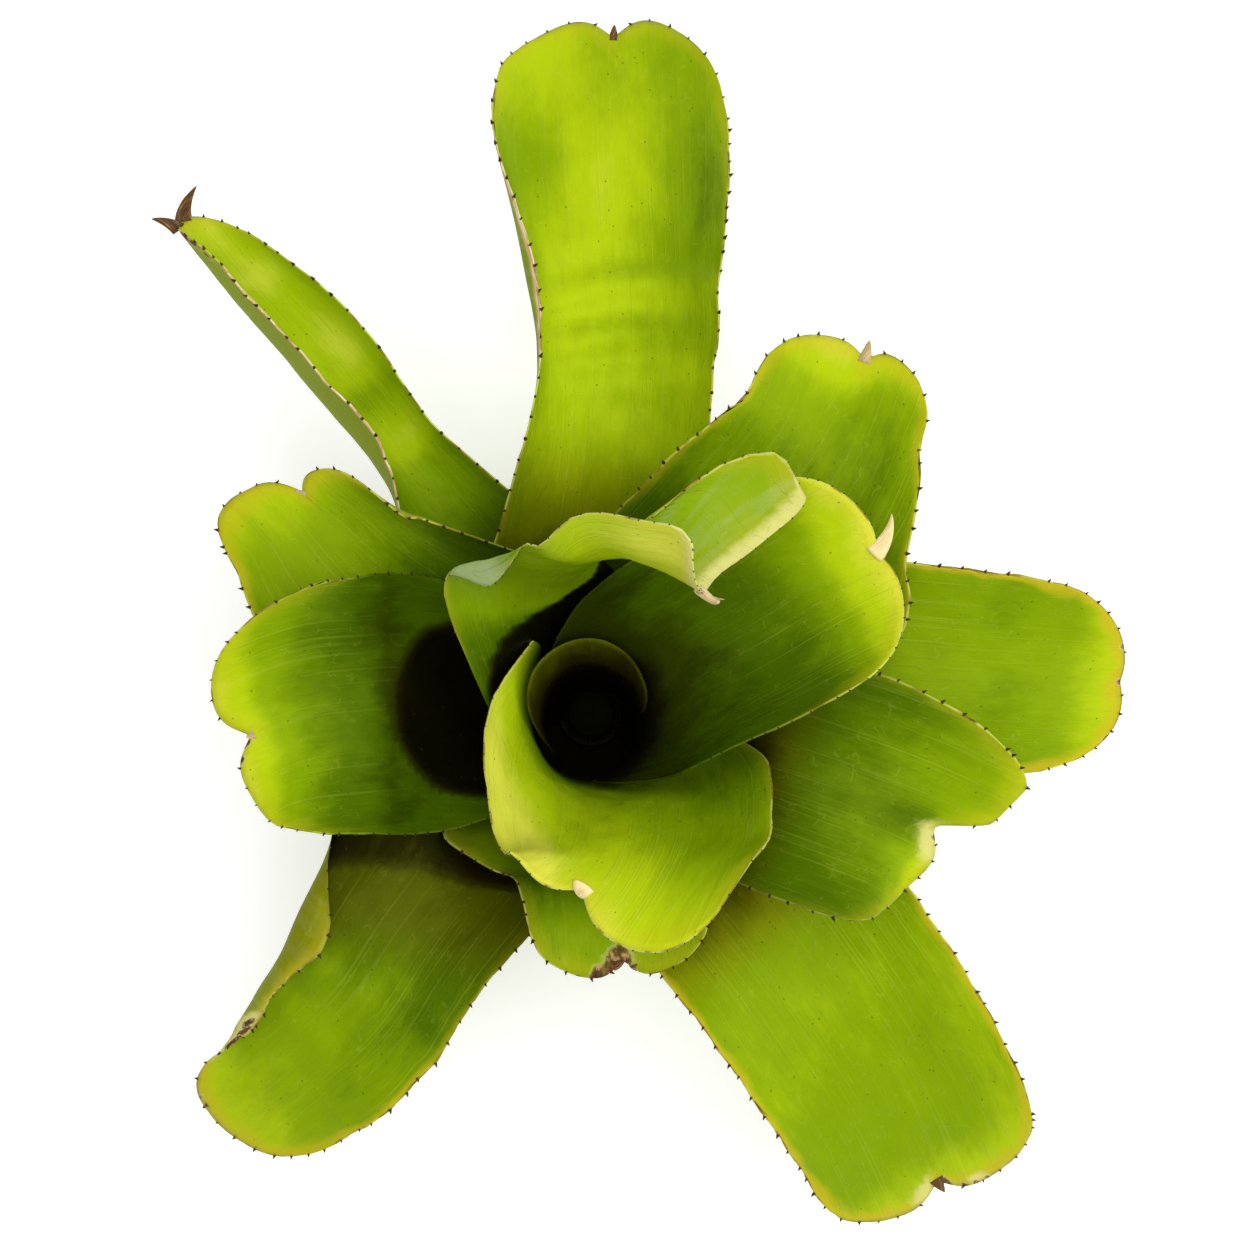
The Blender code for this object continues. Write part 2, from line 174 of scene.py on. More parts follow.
LEAVES = [
    # Lowest leaf, folded along its midrib, to the upper left.
    dict(azimuth=128, sheath_top=54, wrap=(56, 56), tip=tip(30, 0, power=1.6), blade=[
        blade(-37, 47, 78, (34, 42), (32, 40), upright=1),
        blade(-66, 83, 90, (34, 38), 75, curl=0.6, roll=25, left=(-65, 85), right=(-51, 98)),
        blade(-96, 119, 93, 38, (100, 90), curl=0.6, roll=28, left=(-90, 118), right=(-75, 131)),
        blade(-123, 149, 88, 34, (100, 90), curl=0.6, roll=28, left=(-115, 146), right=(-101, 155)),
        blade(-143, 174, 78, 22, (90, 80), curl=0.6, roll=28, left=(-137, 169), right=(-131, 178)),
    ]),
    # Long flat leaf to the lower right.
    dict(azimuth=314, sheath_top=55, wrap=(60, 60), tip=tip(32, 9), blade=[
        blade(42, -43, 82, 46, 44, upright=1),
        blade(72, -79, 96, 45, 32),
        blade(88, -102, 96, 44, 24),
        blade(105, -129, 86, 43, 20),
        blade(126, -173, 62, 40, 15),
    ]),
    # Long leaf to the top, its left edge rolled in.
    dict(azimuth=84, sheath_top=57, wrap=(60, 60), tip=tip(36, 9), blade=[
        blade(6, 57, 88, 46, 46, upright=1),
        blade(11, 94, 108, 43, 70, left=(-21, 93), right=(40, 93)),
        blade(12, 128, 112, 43, (120, 75), curl=(2.2, 1), left=(-15, 124), right=(43, 125)),
        blade(11, 159, 109, 44, (175, 60), curl=(3.5, 1), left=(-18, 154), right=(45, 156)),
        blade(9, 198, 100, 42, (100, 25), curl=(3, 1), left=(-32, 197), right=(48, 193)),
        blade(8, 244, 84, 40, (25, 12), left=(-30, 238), right=(45, 241)),
    ]),
    # Leaf to the lower left, its right edge folded over.
    dict(azimuth=221, sheath_top=57, wrap=(60, 60), tip=tip(36, 1, power=2), blade=[
        blade(-42, -36, 84, (45, 30), (47, 31), upright=1),
        blade(-69, -70, 97, (43, 42), (32, 165), curl=(1, 2.6), left=(-39, -96), right=(-86, -70)),
        blade(-87, -96, 94, (43, 41), (25, 165), curl=(1, 2.8), left=(-58, -125), right=(-104, -91)),
        blade(-111, -118, 84, (41, 34), (20, 150), curl=(1, 2.8), left=(-86, -147), right=(-123, -108)),
        blade(-137, -139, 68, (36, 26), (15, 60), curl=(1, 2)),
    ]),
    # Leaf to the right.
    dict(azimuth=11, sheath_top=60, wrap=(60, 60), tip=tip(46, 2), blade=[
        blade(51, 9, 88, 44, 48, upright=1),
        blade(88, 17, 108, 40, 40),
        blade(130, 15, 102, (38, 37), 38),
        blade(186, 12, 86, (33, 30), 30),
    ]),
    # Short leaf to the upper left.
    dict(azimuth=141, sheath_top=62, wrap=(60, 60), tip=tip(24, 6, skew=-5), blade=[
        blade(-37, 30, 96, (36, 46), (43, 55), upright=1),
        blade(-66, 50, 118, 44, (40, 70), roll=-8, right=(-53, 66)),
        blade(-86, 68, 120, (43, 38), (25, 50), roll=-4, left=(-112, 41), right=(-66, 74)),
        blade(-101, 79, 116, (42, 28), (18, 38)),
    ]),
    # Small leaf at the bottom.
    dict(azimuth=281, sheath_top=66, wrap=(58, 58), tip=tip(22, 6), blade=[
        blade(8, -42, 96, (32, 30), (43, 40), upright=1),
        blade(10, -62, 122, 34, 42),
        blade(12, -86, 124, 28, 35),
    ]),
    # Leaf to the upper right.
    dict(azimuth=46, sheath_top=74, wrap=(60, 60), tip=tip(28, 5), blade=[
        blade(31, 32, 106, (44, 34), (56, 43), upright=1),
        blade(59, 62, 134, (44, 46), 38, right=(102, 27)),
        blade(79, 89, 140, (36, 33), 33, right=(107, 72)),
        blade(93, 124, 131, (33, 24), 25),
    ]),
    # Leaf to the lower right, notched deep.
    dict(azimuth=347, sheath_top=76, wrap=(62, 50), tip=tip(26, 12, skew=-10), blade=[
        blade(39, -9, 112, (42, 38), (60, 54), upright=1),
        blade(68, -17, 136, 43, 42),
        blade(97, -27, 142, 42, 38),
        blade(126, -38, 135, (32, 33), 35),
    ]),
    # Wide cupped leaf to the left.
    dict(azimuth=178, sheath_top=72, wrap=(48, 60), tip=tip(30, 7, skew=3), blade=[
        blade(-41, 2, 98, (38, 46), (53, 64), upright=1),
        blade(-55, 5, 118, 49, (58, 60), upright=0.4, left=(-49, -37), right=(-53, 48)),
        blade(-71, 5, 136, 47, (50, 52), left=(-69, -36), right=(-72, 48)),
        blade(-93, 2, 149, (42, 43), (44, 46), left=(-91, -33), right=(-92, 43)),
        blade(-115, -7, 152, (33, 34), 35),
    ]),
    # Leaf behind the cup that turns sideways and curls back.
    dict(azimuth=112, sheath_top=90, wrap=(66, 66), tip=tip(8, 0, power=4), blade=[
        blade(-10, 28, 116, (42, 26), (80, 50), upright=1),
        blade(-8, 41, 143, (44, 20), (50, 20), upright=1, left=(-45, 37)),
        blade(1, 50, 182, (42, 12), (100, -60), curl=(4, 0.6), upright=1, left=(-24, 53)),
        blade(12, 53, 202, (42, 26), (-25, -120), curl=0.5, upright=1, left=(-7, 60), right=(21, 65)),
        blade(24, 49, 211, 42, (-25, -60), curl=0.4, upright=1, left=(18, 62), right=(54, 82)),
        blade(36, 41, 214, 40, (-25, -58), curl=0.4, upright=1, left=(32, 51), right=(68, 70)),
    ]),
    # Upright spoon-shaped leaf at the front.
    dict(azimuth=274, sheath_top=88, wrap=(60, 80), tip=tip(24, 8), blade=[
        blade(4, -23, 112, (36, 54), (83, 128), upright=1),
        blade(9, -27, 138, (50, 52), (64, 85), upright=0.8, left=(57, -10), right=(-32, 6)),
        blade(9, -35, 160, 50, (45, 60), upright=0.5, left=(59, -33), right=(-32, -21)),
        blade(4, -44, 178, 48, (35, 45), upright=0.2, left=(46, -50), right=(-25, -39)),
        blade(-6, -55, 190, (46, 40), 30),
    ]),
    # Wide cupped leaf to the right.
    dict(azimuth=29, sheath_top=92, wrap=(72, 72), tip=tip(26, 3), blade=[
        blade(18, 9, 112, 40, 115, upright=1),
        blade(34, 21, 134, 46, (85, 80), roll=-6, upright=0.5),
        blade(53, 32, 150, 46, 72, roll=-8),
        blade(74, 45, 162, 43, 60, roll=-6),
        blade(95, 56, 168, (36, 35), 45),
    ]),
    # Young heart leaf, rolled inside the others.
    dict(azimuth=125, sheath_top=90, wrap=(70, 75), tip=tip(14, 0), blade=[
        blade(-9, 14, 108, (28, 34), (95, 116), upright=1),
        blade(-11, 24, 136, (22, 40), (52, 112), upright=1),
    ]),
]

# Tones of a blade in linear light, from near black, painted shade deep in the cup, to a yellowed end.
TONES = [
    (0, (0.0032, 0.0025, 0.0004)),
    (0.12, (0.009, 0.0065, 0.0005)),
    (0.25, (0.023, 0.035, 0.0003)),
    (0.4, (0.068, 0.138, 0.0003)),
    (0.6, (0.215, 0.345, 0.0008)),
    (0.8, (0.43, 0.57, 0.004)),
    (1, (0.72, 0.74, 0.065)),
]
BRONZE = (1.1, 0.6, 1)  # factors of red, green and blue
SHEEN = (0.85, 1, 0.08)
OLIVE_UNDER = (0.21, 0.27, 0.02)
PALE_SCALES = (0.5, 0.58, 0.36)
PALE_LINES = (0.62, 0.72, 0.09)
DARK_DOTS = (0.06, 0.05, 0.005)
EDGE_GOLD = (0.56, 0.46, 0.015)
# thin edge: partly the leaf's own pale margin, partly a painted highlight
PALE_RIM = (0.56, 0.6, 0.12)
SCORCHED_RIM = (0.2, 0.09, 0.03)
PALE_MARGIN = (0.46, 0.58, 0.26)
BLEACHED = (0.76, 0.72, 0.24)
CREAM = (0.7, 0.68, 0.3)
TAN = (0.56, 0.33, 0.15)
BROWN = (0.12, 0.052, 0.022)
DARK_BROWN = (0.03, 0.012, 0.008)
STRAW = [(0.3, (0.42, 0.2, 0.08)), (0.45, (0.74, 0.47, 0.24)), (0.62, (0.92, 0.74, 0.5))]
BURNT = [(0.34, (0.035, 0.016, 0.01)), (0.5, BROWN), (0.68, TAN)]
FRESH_HORN = [(0.3, (0.78, 0.5, 0.19)), (0.46, (0.97, 0.74, 0.36)), (0.64, (1, 0.9, 0.52))]
OLD_HORN = [(0.3, DARK_BROWN), (0.52, BROWN), (0.72, TAN)]
SPINE_BROWN = [(0.35, (0.018, 0.008, 0.006)), (0.65, (0.07, 0.03, 0.015))]
BARK = [(0.3, (0.035, 0.018, 0.009)), (0.5, (0.12, 0.065, 0.03)), (0.7, (0.26, 0.17, 0.08))]
BARK_BLOTCH = (0.06, 0.035, 0.018)
SHADED_BARK = (0.0015, 0.001, 0.0005)
PITH = [(0.3, (0.2, 0.11, 0.05)), (0.5, (0.42, 0.3, 0.16)), (0.7, (0.6, 0.48, 0.3))]
RIND = (0.13, 0.07, 0.035)
WHITE = (1, 1, 1)
FLOOR_PAINT = [(0.3, (0.94, 0.94, 0.94)), (0.7, (0.96, 0.96, 0.96))]

# Finish of a plain leaf. Places along and across a blade are shares unless a line says otherwise.
PLAIN_LOOK = dict(
    spots=(),  # paler and darker areas, mostly painted light and shade (lit sides, sheen, shaded folds), partly the leaf's own patches: (along, across, length, width, change)
    gold=0.4,  # how much the edge yellows
    under=OLIVE_UNDER,  # colour of the lower side
    bloom=0.3,  # how whitish the scales of the lower side are
    bronze=(0, 0),  # brownish foot: (end, strength)
    pool=(-1, 0.1, 0, 0),  # painted shade, dark deep in a cup: (end, softness, bow of its end, slant of its end)
    dry=(),  # dead margin: (edge, from, to, width in mm)
    pale=(),  # whitish margin: (edge, from, to, width in mm)
    burns=(),  # brown damage in mm: (from the end, across, radius)
    bleached=(),  # cream damage in mm: (from the end, across, radius)
    cream=0,  # width of a bleached end in mm
    horns=(),  # dry points at the end: (across, length, width, lift, turn, age)
    spines=1,  # size of the edge spines
    dents=(),  # where the edge draws in: (edge, along, depth in mm, length)
    pulls=(),  # where the edge moves: (edge, along, length, power, x, y); a high power moves only the rim
    ripples=(),  # folds across the blade: (from, to, length in mm, height in mm)
)


def look(tones, **own):
    """Finish of one leaf; tones lists (share of the free blade, tone) from foot to end."""
    return {**PLAIN_LOOK, "tones": tones, **own}


# One finish for each leaf, in the order of LEAVES. Their tones and spots paint light and shade as well as
# the leaves' own colour: dark cups, lit and shaded sides, sheen and shaded folds.
LOOKS = [
    look(((0, 0.1), (0.25, 0.45), (0.43, 0.72), (0.6, 0.74), (1, 0.84)),
         spots=((0.43, -0.5, 0.04, 0.5, 0.18), (0.62, -0.5, 0.07, 0.45, 0.16), (0.53, -0.3, 0.03, 0.5, -0.1),
                (0.82, -0.3, 0.05, 0.3, 0.12)), gold=0.5, under=(0.190, 0.235, 0.001), bloom=0,
         bronze=(0.25, 0.4), dry=((1, 0.28, 0.97, 1.5),), burns=((1, 13, 3.2), (2, 18, 3), (5, 22, 2.2)),
         horns=((0, 15, 6.5, 45, -80, 0.75), (7, 10, 6, 5, 62, 0.9)),
         dents=((1, 0.4, 2, 0.03), (-1, 0.66, 1.2, 0.02)),
         pulls=((1, 0.6, 0.3, 1, 5, 5), (1, 0.6, 0.3, 4, -5.5, -5.5), (1, 0.82, 0.14, 1, 3, 3),
                (1, 0.82, 0.14, 4, -4, -4))),
    look(((0, 0.1), (0.25, 0.42), (0.35, 0.58), (0.6, 0.64), (0.85, 0.6), (1, 0.82)),
         spots=((0.9, 0.9, 0.4, 0.25, 0.08), (0.7, 0.4, 0.12, 0.3, -0.06)), gold=1.1, bronze=(0.4, 1),
         burns=((1, 3, 2.4), (1, 24, 1.6), (0, 9, 1.6), (0, 13, 1.4), (0, 17, 1.4)),
         bleached=((3, -6, 5), (1, 14, 4)), horns=((0, 6, 5.5, 60, 20, 0.65),)),
    look(((0, 0.15), (0.2, 0.56), (0.34, 0.75), (0.47, 0.75), (0.55, 0.79), (0.62, 0.72), (0.8, 0.75),
          (1, 0.72)),
         spots=((0.75, -0.8, 0.25, 0.4, -0.22), (0.97, 0.7, 0.1, 0.3, 0.08), (0.72, 0.1, 0.1, 0.3, 0.05),
                (0.78, 0.7, 0.12, 0.35, -0.12), (0.5, -0.2, 0.022, 0.8, -0.09),
                (0.585, 0, 0.025, 0.8, -0.07)), bronze=(0.32, 0.7), dry=((1, 0.42, 0.8, 1.5),),
         horns=((0, 6, 4, 65, -10, 0.7),),
         dents=((-1, 0.44, 3.2, 0.025), (-1, 0.55, 3.2, 0.025), (1, 0.5, 1.6, 0.02), (1, 0.88, 1.5, 0.03)),
         ripples=((0.37, 0.66, 17.5, 1.5),)),
    look(((0, 0.37), (0.35, 0.38), (0.45, 0.43), (0.6, 0.56), (0.85, 0.68), (1, 0.84)),
         spots=((0.7, 0.5, 0.1, 0.4, -0.05), (0.54, 0.75, 0.02, 0.35, -0.06)), gold=1,
         under=(0.235, 0.25, 0.004), bloom=0.1, bronze=(0.52, 0.9), pool=(0.275, 0.045, 0, 0.085),
         burns=((2, -28, 3.4), (8, -31, 3.4), (15, -32, 3), (1, -4, 1.6)),
         bleached=((4, -25, 6.5), (11, -28, 6.5), (18, -31, 5.5)), horns=((0, 3, 3, 10, 0, 0.8),),
         dents=((-1, 0.86, 3, 0.02), (-1, 0.92, 2.2, 0.015), (1, 0.6, 1.5, 0.02)),
         pulls=((-1, 0.28, 0.1, 2, -18, 3), (-1, 0.42, 0.1, 2, -10, 2), (-1, 0.44, 0.08, 8, 12, -2),
                (-1, 0.86, 0.14, 2, 10, 1), (-1, 0.93, 0.08, 1, 6, -2)), ripples=((0.5, 0.75, 24, 0.8),)),
    look(((0, 0.1), (0.4, 0.42), (0.53, 0.62), (0.73, 0.56), (0.86, 0.59), (0.94, 0.74), (1, 0.88)),
         spots=((0.9, -0.5, 0.08, 0.4, 0.06),), gold=1.2, bronze=(0.5, 0.3),
         burns=((0, 0, 1.2), (0, 12, 1.3), (0, -20, 1.5))),
    look(((0, 0.1), (0.5, 0.4), (0.65, 0.55), (0.8, 0.57), (0.95, 0.74), (1, 0.86)), gold=0.8,
         bronze=(0.4, 0.6), horns=((0, 4, 4, 60, 0, 0.5),),
         pulls=((1, 0.95, 0.22, 0.8, -3, 10), (1, 0.72, 0.14, 0.8, -6, 0), (1, 1, 0.1, 0.4, -4, 10),
                (-1, 0.97, 0.15, 0.8, 0, -5))),
    look(((0, 0.1), (0.6, 0.4), (0.8, 0.56), (1, 0.62)), spots=((0.38, -1, 0.25, 0.6, 0.22),),
         bronze=(0.5, 0.3), burns=((2, -2, 6), (1, -9, 3)),
         horns=((-2, 3.5, 5, -15, -30, 1), (4, 2.5, 3.5, 0, 40, 1)), dents=((-1, 0.95, 2, 0.03),),
         pulls=((-1, 0.31, 0.15, 2, -29, -3), (-1, 0.5, 0.14, 2, -5, -7))),
    look(((0, 0.1), (0.4, 0.38), (0.5, 0.5), (0.7, 0.54), (0.88, 0.65), (1, 0.86)),
         spots=((0.8, -0.4, 0.12, 0.4, -0.1), (0.95, 0.4, 0.12, 0.4, 0.08)), gold=0.7,
         horns=((0, 8, 5, 60, 10, 0.5),),
         dents=((-1, 0.83, 2.2, 0.03), (-1, 0.66, 2, 0.03), (1, 0.75, 1.5, 0.03))),
    look(((0, 0), (0.42, 0.18), (0.5, 0.36), (0.6, 0.42), (0.75, 0.49), (0.88, 0.58), (1, 0.76)),
         spots=((0.72, -0.9, 0.2, 0.4, -0.06), (0.95, -0.5, 0.1, 0.4, 0.14),
                (0.86, -0.05, 0.09, 0.2, -0.12)), bronze=(0.62, 0.9), burns=((1, -3, 1.6),),
         bleached=((2, -5, 6),), pulls=((1, 1.02, 0.12, 0.5, 8, -6), (-1, 0.96, 0.12, 0.4, -9.5, 0))),
    look(((0, 0.38), (0.45, 0.36), (0.55, 0.3), (0.7, 0.42), (0.8, 0.5), (0.86, 0.61), (0.92, 0.78),
          (1, 0.92)), spots=((0.9, 0.8, 0.15, 0.4, 0.08),), bronze=(0.58, 0.5), pool=(0.495, 0.06, 0.42, 0),
         burns=((0, 2, 1.4), (0, 6, 1.6)), horns=((0, 3, 3.5, 40, 0, 0.5),), spines=0.75,
         pulls=((1, 0.95, 0.15, 0.7, -6, -3),)),
    look(((0, 0.3), (0.28, 0.34), (0.38, 0.6), (0.5, 0.58), (0.7, 0.58), (0.9, 0.84), (1, 0.94)),
         spots=((0.9, 0.7, 0.15, 0.4, 0.1),), under=(0.180, 0.307, 0.005), bloom=0.22,
         pool=(0.355, 0.02, 0, 0.14), pale=((1, 0.44, 0.66, 9),), cream=4.5,
         horns=((0, 15, 6, -20, 95, 0.42), (2, 9, 4, -40, 30, 0.5)), spines=0.5,
         pulls=((-1, 0.97, 0.12, 2, 7, -1), (-1, 0.88, 0.05, 4, 3, 4), (1, 0.72, 0.05, 2, 0, 8),
                (1, 0.48, 0.08, 2, -3, 5), (1, 0.55, 0.09, 9, 5, -11))),
    look(((0, 0.1), (0.35, 0.64), (0.5, 0.69), (0.7, 0.75), (0.9, 0.86), (1, 0.96)),
         spots=((0.6, -1, 0.35, 0.35, 0.32), (0.6, 0.8, 0.4, 0.6, -0.2), (0.92, -0.7, 0.25, 0.4, 0.3)),
         horns=((0, 7, 7.5, 75, 30, 0.22),), spines=0.5,
         pulls=((-1, 0.97, 0.1, 0.8, -1.5, -4), (-1, 0.22, 0.1, 3, 5, 19))),
    look(((0, 0), (0.12, 0.03), (0.3, 0.24), (0.45, 0.31), (0.56, 0.38), (0.7, 0.48), (0.8, 0.58),
          (0.9, 0.84), (1, 1)), spots=((0.75, -0.8, 0.2, 0.4, -0.08),), pool=(0.08, 0.12, 0.3, 0),
         horns=((0, 15, 6.5, 25, 62, 0),), spines=0.5),
    look(((0, 0), (0.45, 0.06), (0.68, 0.24), (0.85, 0.3), (1, 0.33)), gold=0.1, bronze=(2, 0.9),
         spines=0.4),
]


def spline(knots, values, at):
    """Smooth curve through the values at the knots."""
    values = np.asarray(values, float)
    gaps = np.diff(knots)
    chords = np.diff(values, axis=0) / gaps[:, None]
    slopes = np.empty_like(values)
    before = gaps[:-1, None]
    after = gaps[1:, None]
    slopes[1:-1] = (chords[:-1] * after + chords[1:] * before) / (before + after)
    slopes[0] = chords[0]
    slopes[-1] = 1.5 * chords[-1] - 0.5 * slopes[-2]
    cell = np.clip(np.searchsorted(knots, at, side="right") - 1, 0, len(gaps) - 1)
    step = gaps[cell][:, None]
    x = (at - knots[cell])[:, None] / step
    start = (2 * x**3 - 3 * x**2 + 1) * values[cell]
    start += (x**3 - 2 * x**2 + x) * step * slopes[cell]
    end = (3 * x**2 - 2 * x**3) * values[cell + 1]
    end += (x**3 - x**2) * step * slopes[cell + 1]
    return start + end


def table_at(places, table, at):
    """Rows of a sampled table at the given places, beyond its ends its outer rows."""
    columns = [np.interp(at.ravel(), places, column) for column in table.T]
    return np.stack(columns, axis=1).reshape(at.shape + (len(columns),))


def unit(vectors):
    return vectors / np.linalg.norm(vectors, axis=-1, keepdims=True)


def along(vectors, directions):
    return (vectors * directions).sum(axis=-1, keepdims=True)


def limited(values):
    return np.clip(values, 0, 1)


def stretch(values, start, stop, ease):
    """1 well inside start to stop, down to 0 at both."""
    return limited((values - start) / ease) * limited((stop - values) / ease)


def hill(values, at, width):
    return np.exp(-(((values - at) / width) ** 2))


def distances(points):
    """Way from the first point to each of them, along all between."""
    return np.append(0, np.cumsum(np.linalg.norm(np.diff(points, axis=0), axis=1)))


def stem_radius(z):
    share = (z - STEM_SHOULDER) / (STEM_HEIGHT - STEM_SHOULDER)
    return STEM_RADIUS + (STEM_TOP_RADIUS - STEM_RADIUS) * share


class Leaf:
    """The bent blade of one leaf, and its finish: dents, folds and small unevenness."""

    def __init__(self, rank, count, spec, finish):
        self.spec = spec
        self.look = finish
        self.turns = np.random.default_rng(rank).uniform(0, tau, 12)
        self.phase = LEAF_PHASE * rank
        share = rank / (count - 1)
        self.outward = np.array([cos(radians(spec["azimuth"])), sin(radians(spec["azimuth"])), 0])
        base = LOWEST_LEAF + (HIGHEST_LEAF - LOWEST_LEAF) * share
        sheath_radius = OUTER_SHEATH + (INNER_SHEATH - OUTER_SHEATH) * share
        sections = self.sheath(base, sheath_radius) + spec["blade"]
        points = np.array([s["at"] for s in sections], float)
        knots = distances(points)
        fine = np.linspace(0, knots[-1], CURVE_SAMPLES)
        midrib = spline(knots, points, fine)
        lengths = distances(midrib)
        self.length = lengths[-1]
        self.sheath_length = np.interp(knots[2], fine, lengths)
        self.places = np.linspace(0, self.length, CURVE_SAMPLES)
        self.midrib = table_at(lengths, midrib, self.places)
        stations = np.interp(knots, fine, lengths)
        rows = [(*s["half"], *s["cup"], *s["curl"], s["roll"], s["upright"]) for s in sections]
        self.form = spline(stations, rows, self.places)
        self.set_frame()
        self.pull = np.zeros((CURVE_SAMPLES, 6))
        self.pull = spline(stations, self.edge_pulls(stations, sections), self.places)

    def sheath(self, base, radius):
        """Sections of the clasping foot, each a part of a level circle round the axis."""
        left, right = self.spec["wrap"]
        foot = stem_radius(base) + SEAT_GAP
        sections = []
        for share in (0, 0.4, 1):
            reach = foot + (radius - foot) * (1 - (1 - share) ** 2)
            x, y = reach * self.outward[:2]
            z = base + (self.spec["sheath_top"] - base) * share
            half = (reach * radians(left), reach * radians(right))
            sections.append(blade(x, y, z, half, (left, right), upright=1))
        return sections

    def set_frame(self):
        """Directions across the blade and up from it, all along the midrib."""
        self.tangent = unit(np.gradient(self.midrib, axis=0))
        upright = limited(self.form[:, 7:8])
        up = np.array([0, 0, 1])
        facing = -self.outward * upright + up * (1 - upright)
        normal = unit(facing - along(facing, self.tangent) * self.tangent)
        side = np.cross(normal, self.tangent)
        roll = np.radians(self.form[:, 6:7])
        self.side = np.cos(roll) * side + np.sin(roll) * normal
        normal = np.cos(roll) * normal - np.sin(roll) * side
        inward = -self.outward + along(self.outward, self.side) * self.side
        self.rise = unit(upright * inward + (1 - upright) * normal)

    def edge_pulls(self, stations, sections):
        """Shift of the left and right edge at each section that names a place for it."""
        pulls = np.zeros((len(sections), 6))
        for row, section in enumerate(sections):
            for index, place in enumerate(section["edges"]):
                if place:
                    across = 1 - 2 * index
                    edge = self.point(np.array([stations[row]]), np.array([across]))[0]
                    pulls[row, 3 * index:3 * index + 2] = np.array(place) - edge[:2]
        return pulls

    def end(self, across):
        """Length of the blade at a share of its half width: round, with a notch."""
        shape = self.spec["tip"]
        share = np.abs(across)
        rounding = 1 - limited(1 - share ** shape["power"]) ** (1 / shape["power"])
        notch = shape["notch"] * np.exp(-((share / NOTCH_SHARE) ** NOTCH_POWER))
        return self.length - shape["rounding"] * rounding - notch - shape["skew"] * across

    def at(self, table, place):
        return table_at(self.places, table, place)

    def half_width(self, place, across):
        form = self.at(self.form, place)
        return np.where(across > 0, form[..., 0], form[..., 1])

    def point(self, place, across):
        """Point of the middle surface; across runs from -1 (right edge) to 1 (left edge)."""
        place = np.clip(place, 0, self.length)
        form = self.at(self.form, place)
        side = unit(self.at(self.side, place))
        rise = unit(self.at(self.rise, place))
        pull = self.at(self.pull, place)
        left = across > 0
        share = np.abs(across)
        half = np.where(left, form[..., 0], form[..., 1])
        cup = np.radians(np.where(left, form[..., 2], form[..., 3]))
        curl = np.where(left, form[..., 4], form[..., 5])
        steps = (np.arange(TURN_SAMPLES) + 0.5) / TURN_SAMPLES
        turn = cup[..., None] * (share[..., None] * steps) ** curl[..., None]
        reach = half * across * np.cos(turn).mean(axis=-1)
        lift = half * share * np.sin(turn).mean(axis=-1)
        free = limited((place / self.length - WAVE_START) / WAVE_EASE)
        swing = np.sin(tau * place / WAVE_LENGTH + self.phase + EDGE_PHASE * left)
        lift += WAVE * free * share**WAVE_POWER * swing
        drawn = np.where(left[..., None], pull[..., :3], pull[..., 3:])
        point = self.at(self.midrib, place) + drawn * share[..., None] ** DRAWN_POWER
        return point + side * reach[..., None] + rise * lift[..., None]

    def free_share(self, place):
        """Place along the blade as a share of the part above the sheath."""
        return (place - self.sheath_length) / (self.length - self.sheath_length)

    def shaped_point(self, place, across):
        """Point of the middle surface with the finish of the leaf."""
        free = self.free_share(place)
        half = self.half_width(place, across)
        loose = limited(free / UNEVEN_FROM)
        drawn = self.draw_in(place, free, across, loose)
        point = self.point(place, across * (1 - drawn / half * np.abs(across) ** 3))
        rise = unit(self.at(self.rise, place))
        for edge, at, length, power, x, y in self.look["pulls"]:
            window = hill(free, at, length) * (across * edge > 0) * np.abs(across) ** power
            point = point + window[..., None] * np.array([x, y, 0])
        return point + rise * self.fold(place, free, across, half, loose)[..., None]

    def draw_in(self, place, free, across, loose):
        """How far the edge lies inside its plain line: dents and wobbles, in millimetres."""
        drawn = np.zeros_like(place)
        for edge, at, depth, length in self.look["dents"]:
            drawn += depth * hill(free, at, length) * (across * edge > 0)
        for count, (size, length) in enumerate(EDGE_WOBBLES):
            turn = self.turns[count] + WOBBLE_PHASE * (across > 0)
            drawn += size * loose * (1 + np.sin(tau * place / length + turn))
        return drawn

    def fold(self, place, free, across, half, loose):
        """Height of the folds and swells above the plain blade, in millimetres."""
        lift = np.zeros_like(place)
        for start, stop, length, height in self.look["ripples"]:
            line = place + RIPPLE_BOW * across**2 + RIPPLE_SLANT * across
            lift += height * stretch(free, start, stop, RIPPLE_EASE) * np.sin(tau * line / length)
        for count, (size, long, wide) in enumerate(BLADE_SWELLS):
            first = tau * place / long + self.turns[4 + count]
            second = tau * across * half / wide + self.turns[8 + count]
            lift += size * loose * np.sin(first) * np.sin(second)
        return lift


